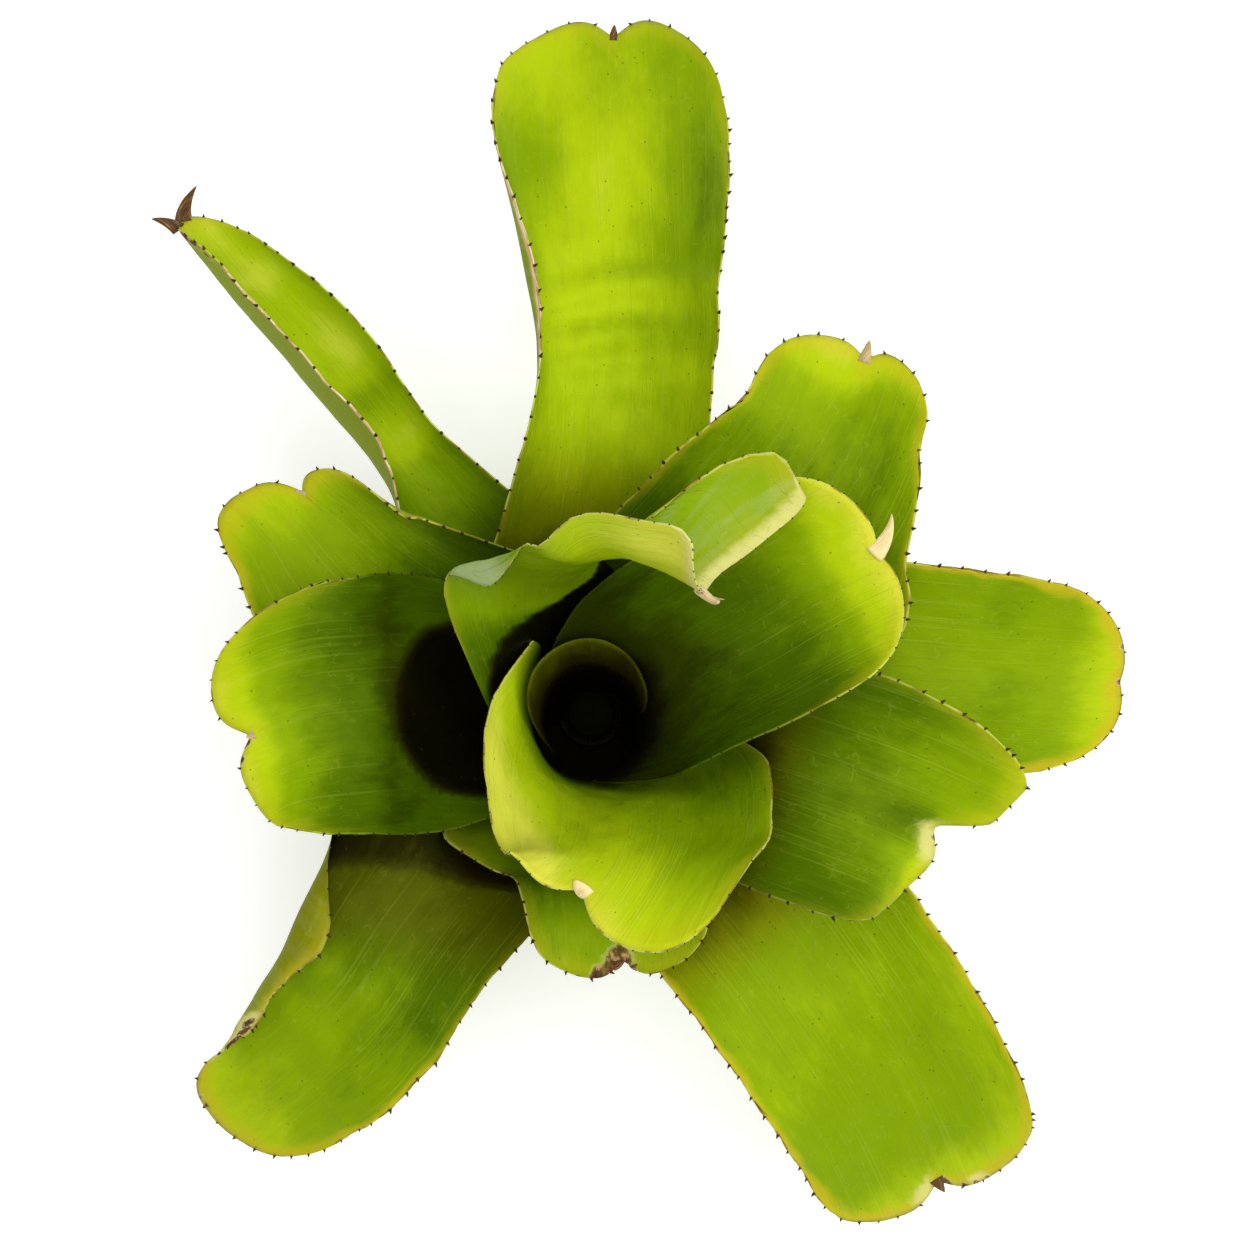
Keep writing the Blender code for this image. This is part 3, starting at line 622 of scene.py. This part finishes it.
class Graph:
    """Short calls that build one node material."""

    def __init__(self, name):
        self.material = bpy.data.materials.new(name)
        self.material.use_nodes = True
        self.tree = self.material.node_tree
        self.shader = self.tree.nodes["Principled BSDF"]

    def feed(self, socket, value):
        if isinstance(value, bpy.types.NodeSocket):
            self.tree.links.new(value, socket)
        elif isinstance(value, tuple) and len(value) == 3 and socket.type == "RGBA":
            socket.default_value = (*value, 1)
        else:
            socket.default_value = value

    def fill(self, node, values):
        """Feed the sockets of a node that go by these names or numbers."""
        for name, value in values.items():
            self.feed(node.inputs[name], value)

    def node(self, kind, *values, **settings):
        """A new node with its settings, and with the values fed to its first sockets."""
        made = self.tree.nodes.new("ShaderNode" + kind)
        for key, value in settings.items():
            setattr(made, key, value)
        for socket, value in zip(made.inputs, values):
            self.feed(socket, value)
        return made

    def data(self, name):
        return self.node("Attribute", attribute_name=name).outputs["Fac"]

    def object_place(self):
        return self.node("TexCoord").outputs["Object"]

    def math(self, operation, first, second=0, third=0):
        return self.node("Math", first, second, third, operation=operation).outputs[0]

    def times(self, first, second):
        return self.math("MULTIPLY", first, second)

    def line(self, value, slope, start):
        return self.math("MULTIPLY_ADD", value, slope, start)

    def shifted(self, value, noise, strength):
        """The value, moved up and down by a noise that swings round one half."""
        return self.line(self.math("SUBTRACT", noise, 0.5), strength, value)

    def vector(self, x, y, z):
        return self.node("CombineXYZ", x, y, z).outputs[0]

    def spread(self, wide, long, seed):
        """Texture place on the blade where one unit is that many millimetres."""
        x = self.math("DIVIDE", self.data("across"), wide)
        y = self.math("DIVIDE", self.data("along"), long)
        return self.vector(x, y, seed)

    def noise(self, place, detail=2, roughness=0.5, distortion=0, scale=1):
        made = self.node("TexNoise")
        self.fill(made, {"Vector": place, "Scale": scale, "Detail": detail, "Roughness": roughness,
                         "Distortion": distortion})
        return made.outputs["Fac"]

    def grain(self, wide, long, seed, **settings):
        """Noise with clouds of about that many millimetres across and along the blade."""
        return self.noise(self.spread(wide, long, seed), **settings)

    def cells(self, place, feature="F1"):
        """Distance in a pattern of cells: from their points, or from their borders."""
        made = self.node("TexVoronoi", feature=feature)
        self.fill(made, {"Vector": place, "Scale": 1})
        return made.outputs["Distance"]

    def between(self, value, low, high):
        """0 below low and 1 above high, smooth between them."""
        made = self.node("MapRange", value, low, high, interpolation_type="SMOOTHSTEP")
        return made.outputs["Result"]

    def below(self, value, low, high):
        """1 below low and 0 above high, smooth between them."""
        return self.math("SUBTRACT", 1, self.between(value, low, high))

    def mix(self, share, first, second):
        made = self.node("Mix", share, data_type="RGBA")
        self.fill(made, {6: first, 7: second})
        return made.outputs[2]

    def ramp(self, value, stops):
        made = self.node("ValToRGB", value)
        made.color_ramp.interpolation = "EASE"
        elements = made.color_ramp.elements
        while len(elements) < len(stops):
            elements.new(1)
        for element, (place, colour) in zip(elements, stops):
            element.position = place
            element.color = (*colour, 1)
        return made.outputs["Color"]

    def bump(self, height, depth):
        """Relief of the surface, depth in millimetres."""
        made = self.node("Bump")
        self.fill(made, {"Height": height, "Distance": depth * MM})
        self.feed(self.shader.inputs["Normal"], made.outputs["Normal"])

    def finish(self, colour, roughness, specular=0.3, subsurface=0):
        self.fill(self.shader, {
            "Base Color": colour, "Roughness": roughness, "Specular IOR Level": specular,
            "Specular Tint": SHEEN, "Subsurface Weight": subsurface,
            "Subsurface Radius": (1, 0.8, 0.2), "Subsurface Scale": 1.5 * MM})
        return self.material


def blade_colour(g, seed):
    """Colour of a blade from its tone, which holds painted light and shade, with slow drifts and finer
    clouds.
    """
    drift = g.grain(34, 60, seed, detail=3, distortion=0.4)
    clouds = g.grain(11, 26, seed + 3, detail=4, roughness=0.6)
    fine = g.grain(2.2, 7, seed + 5, detail=3, roughness=0.6)
    tone = g.data("tone")
    for noise, strength in ((drift, 0.22), (clouds, 0.17), (fine, 0.06)):
        tone = g.shifted(tone, noise, strength)
    bronze = [(at, tuple(factor * part for factor, part in zip(BRONZE, colour))) for at, colour in TONES]
    return g.mix(g.data("bronze"), g.ramp(tone, TONES), g.ramp(tone, bronze))


def add_lines(g, colour, seed):
    """Fine pale lines along the blade and short crackled scratches, and how marked a place is."""
    pale = g.mix(0.5, colour, PALE_LINES)
    grown = g.between(g.data("tone"), 0.2, 0.5)
    lines = g.times(g.between(g.grain(0.8, 90, seed + 9), 0.52, 0.74), grown)
    colour = g.mix(g.times(lines, 0.2), colour, pale)
    bend = g.grain(6, 6, seed + 11, detail=1)
    wide = g.line(bend, 3, g.math("DIVIDE", g.data("across"), 2.6))
    place = g.vector(wide, g.math("DIVIDE", g.data("along"), 6.5), seed)
    thin = g.below(g.cells(place, "DISTANCE_TO_EDGE"), 0, 0.06)
    broken = g.between(g.grain(4, 5, seed + 13), 0.5, 0.62)
    marks = g.times(g.times(thin, broken), grown)
    colour = g.mix(g.times(marks, 0.18), colour, pale)
    return colour, g.line(marks, 0.7, lines)


def add_dots(g, colour, seed):
    """Small dark dots in loose groups."""
    small = g.below(g.cells(g.spread(3.4, 4, seed + 17)), 0.06, 0.11)
    some = g.between(g.grain(3, 3, seed + 19, detail=0), 0.42, 0.5)
    return g.mix(g.times(g.times(small, some), 0.7), colour, DARK_DOTS)


def add_rim(g, colour, gold, seed):
    """Yellowing towards the edge, and the thin pale edge itself, its own pale margin with a painted
    highlight, with scorched stretches.
    """
    grown = g.between(g.data("tone"), 0.3, 0.6)
    ragged = g.grain(9, 14, seed + 23, detail=3)
    width = g.line(ragged, 9, -1)
    near = g.below(g.math("DIVIDE", g.data("fringe"), width), 0, 1)
    colour = g.mix(g.times(g.times(near, grown), 0.8 * gold), colour, EDGE_GOLD)
    # painted highlight on the thin edge, partly its own pale margin
    rim = g.times(g.below(g.data("edge"), 0.15, 0.65), grown)
    more = 0.14 * gold
    scorch = g.between(g.grain(7, 11, seed + 29), 0.56 - more, 0.68 - more)
    return g.mix(g.times(rim, 0.75), colour, g.mix(scorch, PALE_RIM, SCORCHED_RIM))


def add_damage(g, colour, seed):
    """Dead straw-coloured margins and brown burns with a pale border."""
    dead = g.ramp(g.grain(0.5, 14, seed + 31), STRAW)
    scorched = g.grain(2.2, 3.2, seed + 37, detail=4, roughness=0.65)
    colour = g.mix(g.times(g.data("pale"), 0.85), colour, PALE_MARGIN)
    faded = g.shifted(g.data("cream"), scorched, -0.7)
    colour = g.mix(g.times(g.between(faded, 0.1, 0.8), 0.75), colour, BLEACHED)
    colour = g.mix(g.data("dry"), colour, dead)
    burn = g.shifted(g.data("burn"), scorched, 0.9)
    colour = g.mix(g.times(g.between(burn, 0.22, 0.42), 0.3), colour, CREAM)
    return g.mix(g.between(burn, 0.38, 0.6), colour, g.ramp(scorched, BURNT))


def upper_material(name, finish, seed):
    """Glossy side with dots, lines and a gold edge."""
    g = Graph(name)
    colour, lines = add_lines(g, blade_colour(g, seed), seed)
    colour = add_rim(g, add_dots(g, colour, seed), finish["gold"], seed)
    colour = add_damage(g, colour, seed)
    gloss = g.grain(7, 16, seed + 41, detail=3)
    roughness = g.line(gloss, 0.16, 0.3)
    grain = g.grain(1.4, 2.4, seed + 43, detail=3)
    swell = g.grain(9, 24, seed + 47)
    relief = g.line(grain, 0.35, g.times(lines, 0.3))
    g.bump(g.line(swell, 2.6, relief), 0.3)
    return g.finish(colour, roughness, specular=0.24, subsurface=0.08)


def under_material(name, finish, seed):
    """Duller side with a bloom of fine pale scales in faint bands across it."""
    g = Graph(name)
    seed += 53
    colour = g.mix(0.8, blade_colour(g, seed), finish["under"])
    colour, lines = add_lines(g, colour, seed)
    colour = add_damage(g, add_rim(g, colour, finish["gold"], seed), seed)
    bands = g.grain(26, 3.4, seed + 6, detail=3, distortion=0.5)
    scales = g.grain(0.5, 0.8, seed + 8, detail=1)
    bloom = g.times(g.between(bands, 0.42, 0.7), g.line(scales, 0.5, 0.35))
    colour = g.mix(g.times(bloom, finish["bloom"]), colour, PALE_SCALES)
    roughness = g.line(scales, 0.15, 0.52)
    g.bump(g.line(scales, 0.3, lines), 0.2)
    return g.finish(colour, roughness, specular=0.08, subsurface=0.08)


def horn_material():
    """Dry points in the notches: cream where fresh, brown where old, streaked lengthways."""
    g = Graph("leaf_horns")
    streak = g.grain(0.9, 9, 5, detail=4, roughness=0.65)
    age = g.shifted(g.data("age"), streak, 0.5)
    colour = g.mix(g.between(age, 0.35, 0.65), g.ramp(streak, FRESH_HORN), g.ramp(streak, OLD_HORN))
    g.bump(streak, 0.3)
    return g.finish(colour, 0.62, specular=0.2)


def spine_material():
    g = Graph("leaf_spines")
    grain = g.noise(g.object_place(), scale=300)
    return g.finish(g.ramp(grain, SPINE_BROWN), 0.5)


def stem_material():
    """Fibrous brown stump: rings of leaf scars outside, pale pith on the cut face."""
    g = Graph("stem_bark")
    place = g.object_place()
    x, y, z = g.node("SeparateXYZ", place).outputs
    around = g.times(g.math("ARCTAN2", y, x), 14)
    fibre = g.noise(g.vector(around, g.times(z, 60), 3), detail=4)
    blotch = g.noise(place, detail=3, scale=70)
    bark = g.mix(g.times(blotch, 0.5), g.ramp(fibre, BARK), BARK_BLOTCH)
    bark = g.mix(g.between(z, 35 * MM, 55 * MM), bark, SHADED_BARK)
    out = g.math("SQRT", g.line(x, x, g.times(y, y)))
    speckle = g.noise(place, detail=4, scale=260, roughness=0.7)
    cut = g.mix(g.between(out, 19 * MM, 22.5 * MM), g.ramp(speckle, PITH), RIND)
    colour = g.mix(g.below(z, 0.4 * MM, 1 * MM), bark, cut)
    g.bump(g.math("ADD", fibre, speckle), 0.5)
    return g.finish(colour, 0.8, specular=0.2)


def leaf_sheet(leaf):
    """Open mesh of the blade with the data that its materials read, and its share of the thickness."""
    rows = round(leaf.length / ROW_LENGTH)
    even = np.linspace(-1, 1, COLUMNS + 1)
    columns = even - COLUMN_SHIFT * np.sin(tau * even)
    sheet = bmesh.new()
    bmesh.ops.create_grid(sheet, x_segments=COLUMNS, y_segments=rows, size=1)
    column = np.array([round((v.co.x + 1) / 2 * COLUMNS) for v in sheet.verts])
    row = np.array([round((v.co.y + 1) / 2 * rows) for v in sheet.verts])
    share = columns[column]
    place = np.linspace(0, 1, rows + 1)[row] * leaf.end(share)
    points = leaf.shaped_point(place, share)
    for vertex, point in zip(sheet.verts, points):
        vertex.co = point * MM
    bmesh.ops.reverse_faces(sheet, faces=sheet.faces[:])
    mesh = bpy.data.meshes.new("sheet")
    sheet.to_mesh(mesh)
    sheet.free()
    values = blade_values(leaf, place, share)
    body = limited(EDGE_THICKNESS + (1 - EDGE_THICKNESS) * values["edge"] / EDGE_TAPER)
    for name, numbers in values.items():
        layer = mesh.attributes.new(name, "FLOAT", "POINT")
        layer.data.foreach_set("value", np.asarray(numbers, np.float32))
    mesh.polygons.foreach_set("use_smooth", [True] * len(mesh.polygons))
    return mesh, body


def blade_values(leaf, place, share):
    """What the materials read at places of the blade: distances in millimetres and shares."""
    finish = leaf.look
    half = leaf.half_width(place, share)
    free = leaf.free_share(place)
    across = share * half
    to_side = (1 - np.abs(share)) * half
    to_end = leaf.end(share) - place
    edge = np.minimum(to_side, to_end)
    ends, strength = finish["bronze"]
    cream = limited(1.3 - to_end / max(finish["cream"], 1)) * (finish["cream"] > 0)
    return dict(
        across=across,
        along=place,
        edge=edge,
        fringe=edge / (1 + FRINGE_GROWTH * limited(1 - to_end / FRINGE_REACH)),
        tone=tone_of(leaf, free, share),
        bronze=strength * limited((ends - bowed_share(leaf, free, share)) / BRONZE_EASE),
        dry=margin_share(finish["dry"], free, share, to_side),
        pale=margin_share(finish["pale"], free, share, to_side),
        cream=cream + damage_share(finish["bleached"], to_end, across),
        burn=damage_share(finish["burns"], to_end, across),
    )


def bowed_share(leaf, free, share):
    """Place along the blade, counted further on at the edges the more the end of its painted cup shade bows
    or slants.
    """
    bow, slant = leaf.look["pool"][2:]
    return free + bow * share**2 + slant * share


def tone_of(leaf, free, share):
    """Tone at places of the blade: its run from foot to end, its painted cup shade, then its spots of
    painted light and shade.
    """
    tone = np.interp(free, *zip(*leaf.look["tones"]))
    # painted shade: the tone falls to black deep in the cup
    end, softness = leaf.look["pool"][:2]
    tone *= limited((bowed_share(leaf, free, share) - end) / softness)
    # painted light and shade, partly the leaf's own paler and darker patches
    for at, out, long, wide, change in leaf.look["spots"]:
        tone += change * hill(free, at, long) * hill(share, out, wide)
    return tone


def margin_share(stretches, free, share, to_side):
    """How much a place belongs to the listed stretches of margin."""
    marked = np.zeros_like(free)
    for edge, start, stop, width in stretches:
        near = limited(1.4 - to_side / width) * (share * edge > 0)
        marked = np.maximum(marked, stretch(free, start, stop, MARGIN_EASE) * near)
    return marked


def damage_share(patches, to_end, across):
    """How much a place belongs to the listed patches of damage."""
    hurt = np.zeros_like(across)
    for down, out, radius in patches:
        hurt = np.maximum(hurt, hill(np.hypot(to_end - down, across - out), 0, radius))
    return hurt


def rim_path(leaf):
    """Points round the free edge from left foot over the tip to right foot, with inner ones."""
    start = leaf.sheath_length + SPINE_START
    left = np.linspace(start, leaf.end(1), EDGE_SAMPLES)
    top = np.linspace(1, -1, END_SAMPLES)[1:-1]
    right = np.linspace(leaf.end(-1), start, EDGE_SAMPLES)
    share = np.concatenate([np.ones(EDGE_SAMPLES), top, -np.ones(EDGE_SAMPLES)])
    place = np.concatenate([left, leaf.end(top), right])
    inner = leaf.shaped_point(place - INNER_STEP, share * INNER_SHARE)
    return leaf.shaped_point(place, share), inner, share


def add_spines(work, leaf, seed):
    """Small spines all round the free edge, leaning to the tip, a little uneven in size and step."""
    draw = random.Random(seed)
    scale = leaf.look["spines"]
    rim, inner, share = rim_path(leaf)
    steps = distances(rim)
    at = draw.uniform(0.2, 0.8) * SPINE_SPACING
    while at < steps[-1]:
        index = min(int(np.searchsorted(steps, at)), len(rim) - 2)
        run = unit(rim[index + 1] - rim[index - 1])
        outward = rim[index] - inner[index]
        outward = unit(outward - (outward @ run) * run)
        if share[index] < 0:
            run = -run
        size = draw.uniform(*SPINE_SIZES) * scale
        if abs(share[index]) > NOTCH_CLEARANCE:
            add_spine(work, rim[index], unit(outward + SPINE_LEAN * run), size)
        at += SPINE_SPACING * draw.uniform(*SPINE_STEPS) * scale**0.5


def add_spine(work, root, point, size):
    """A small cone with its foot sunk into the edge."""
    turn = Vector(point).to_track_quat("Z", "Y").to_matrix().to_4x4()
    middle = root + point * (SPINE_LENGTH * size / 2 - SPINE_SUNK)
    bmesh.ops.create_cone(
        work, cap_ends=True, segments=SPINE_SIDES, radius1=SPINE_RADIUS * size * MM,
        radius2=SPINE_POINT * MM, depth=SPINE_LENGTH * size * MM,
        matrix=Matrix.Translation(Vector(middle) * MM) @ turn)


def horn_root(leaf, across):
    """Start of a dry point, and the directions onward, across and up there."""
    half = leaf.half_width(np.array([leaf.length * HORN_ROOT]), np.array([float(across)]))[0]
    share = np.array([across / half])
    start = leaf.end(share)
    tables = (leaf.tangent, leaf.side, leaf.rise)
    tangent, side, rise = (unit(leaf.at(table, start)[0]) for table in tables)
    up = np.cross(tangent, side)
    if up @ rise < 0:
        up = -up
    return leaf.point(start - HORN_SUNK, share)[0], tangent, side, up


def add_horn(work, leaf, layers, horn):
    """A dry point at the end: a flattened, bent and tapering body of rings."""
    across, length, width, lift, turn, age = horn
    place, tangent, side, up = horn_root(leaf, across)
    rows = []
    for ring in range(HORN_RINGS + 1):
        grown = ring / HORN_RINGS
        raised = radians(lift) * grown
        turned = radians(turn) * (0.3 + 0.7 * grown)
        level = tangent * cos(turned) + side * sin(turned)
        onward = unit(level * cos(raised) + up * sin(raised))
        flank = unit(side - (side @ onward) * onward)
        over = np.cross(onward, flank)
        half = width / 2 * (1 - grown) ** HORN_TAPER + HORN_POINT
        row = []
        for step in range(HORN_SIDES):
            angle = tau * step / HORN_SIDES
            point = place + flank * half * cos(angle) + over * half * HORN_FLATNESS * sin(angle)
            vertex = work.verts.new(point * MM)
            vertex[layers["age"]] = age
            vertex[layers["across"]] = STREAK_SPREAD * half * angle + STREAK_SHIFT * across
            vertex[layers["along"]] = length * grown
            row.append(vertex)
        rows.append(row)
        place = place + onward * length / HORN_RINGS
    for below, above in zip(rows, rows[1:]):
        for step in range(HORN_SIDES):
            after = (step + 1) % HORN_SIDES
            work.faces.new((below[step], below[after], above[after], above[step]))
    work.faces.new(rows[0][::-1])
    work.faces.new(rows[-1])


def add_object(name, data):
    thing = bpy.data.objects.new(name, data)
    bpy.context.scene.collection.objects.link(thing)
    return thing


def thicken(thing, sheet, body):
    """Give the sheet its thickness, thinner at the edge, with its own material below."""
    group = thing.vertex_groups.new(name="body")
    for index, weight in enumerate(body):
        group.add([index], float(weight), "REPLACE")
    thickness = thing.modifiers.new("thickness", "SOLIDIFY")
    thickness.thickness = THICKNESS * MM
    thickness.offset = 0
    thickness.vertex_group = "body"
    thickness.material_offset = UNDER
    bpy.context.view_layer.update()
    solid = bpy.data.meshes.new_from_object(thing.evaluated_get(bpy.context.evaluated_depsgraph_get()))
    thing.modifiers.clear()
    thing.vertex_groups.clear()
    thing.data = solid
    bpy.data.meshes.remove(sheet)
    return solid


def mark_new_faces(work, old, material, smooth):
    """Set the material and the shading of the faces that aren't among the old ones."""
    for face in work.faces:
        if face not in old:
            face.material_index = material
            face.smooth = smooth


def make_leaf(rank, spec, finish, spines, horns):
    leaf = Leaf(rank, len(LEAVES), spec, finish)
    name = f"leaf_{rank + 1:02d}"
    seed = 17 * rank + 3
    sheet, body = leaf_sheet(leaf)
    thing = add_object(name + "_fine", sheet)
    upper = upper_material(name + "_upper", finish, seed)
    under = under_material(name + "_under", finish, seed)
    for material in (upper, under, spines, horns):
        sheet.materials.append(material)
    solid = thicken(thing, sheet, body)
    work = bmesh.new()
    work.from_mesh(solid)
    work.verts.layers.float.new("age")
    layers = {key: work.verts.layers.float[key] for key in ("age", "across", "along")}
    old = set(work.faces)
    add_spines(work, leaf, rank)
    mark_new_faces(work, old, SPINES, False)
    old = set(work.faces)
    for horn in finish["horns"]:
        add_horn(work, leaf, layers, horn)
    mark_new_faces(work, old, HORNS, True)
    bmesh.ops.recalc_face_normals(work, faces=work.faces[:])
    work.to_mesh(solid)
    work.free()
    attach(thing, "root")
    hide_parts(name)


def make_stem():
    """Turn the stump with its leaf scars."""
    profile = [(STEM_RADIUS - inward, z) for inward, z in STEM_FOOT]
    for scar in range(STEM_SCARS):
        for share, sunk in STEM_SCAR:
            z = STEM_SHOULDER + (STEM_HEIGHT - STEM_SHOULDER) * (scar + share) / STEM_SCARS
            profile.append((stem_radius(z) - STEM_RING * sunk, z))
    outline = [(0, STEM_HEIGHT)] + profile[::-1] + [(0, 0)]
    corners = [(x * MM, 0, z * MM) for x, z in outline]
    mesh = bpy.data.meshes.new("stem_fine")
    mesh.from_pydata(corners, [(i, i + 1) for i in range(len(outline) - 1)], [])
    stem = add_object("stem_fine", mesh)
    mesh.materials.append(stem_material())
    turn = stem.modifiers.new("turn", "SCREW")
    turn.steps = turn.render_steps = STEM_SIDES
    turn.use_merge_vertices = True
    turn.merge_threshold = 0.00001
    turn.use_smooth_shade = True
    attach(stem, "root")
    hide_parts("stem")


def make_floor():
    """White, faintly glowing ground under the rosette."""
    mesh = bpy.data.meshes.new("floor")
    sheet = bmesh.new()
    bmesh.ops.create_grid(sheet, x_segments=1, y_segments=1, size=FLOOR_SIZE)
    sheet.to_mesh(mesh)
    sheet.free()
    floor = add_object("floor", mesh)
    floor.location.z = -FLOOR_DROP
    g = Graph("floor_paint")
    paint = g.ramp(g.noise(g.object_place(), scale=3), FLOOR_PAINT)
    g.feed(g.shader.inputs["Emission Color"], WHITE)
    g.feed(g.shader.inputs["Emission Strength"], FLOOR_GLOW)
    mesh.materials.append(g.finish(paint, 0.9, specular=0))


def add_light(name, place, size, power):
    """Soft square light aimed at the rosette."""
    lamp = bpy.data.lights.new(name, "AREA")
    lamp.size = size
    lamp.energy = power
    holder = add_object(name, lamp)
    holder.location = place
    aim = Vector(LIT_PLACE) - Vector(place)
    holder.rotation_euler = aim.to_track_quat("-Z", "Y").to_euler()


def add_studio():
    world = bpy.data.worlds.new("studio")
    bpy.context.scene.world = world
    world.use_nodes = True
    sky = world.node_tree.nodes["Background"]
    sky.inputs["Color"].default_value = (*WHITE, 1)
    sky.inputs["Strength"].default_value = SKY
    for light in LIGHTS:
        add_light(*light)
    bpy.context.scene.view_settings.view_transform = "Standard"


def add_camera():
    camera = bpy.data.cameras.new("camera")
    camera.lens = CAMERA_LENS
    camera.clip_end = CAMERA_REACH
    holder = add_object("camera", camera)
    holder.location = Vector(CAMERA_PLACE) * MM
    bpy.context.scene.camera = holder


def main():
    horns = horn_material()
    spines = spine_material()
    for rank, (spec, finish) in enumerate(zip(LEAVES, LOOKS)):
        make_leaf(rank, spec, finish, spines, horns)
    make_stem()
    make_floor()
    add_studio()
    add_camera()


main()
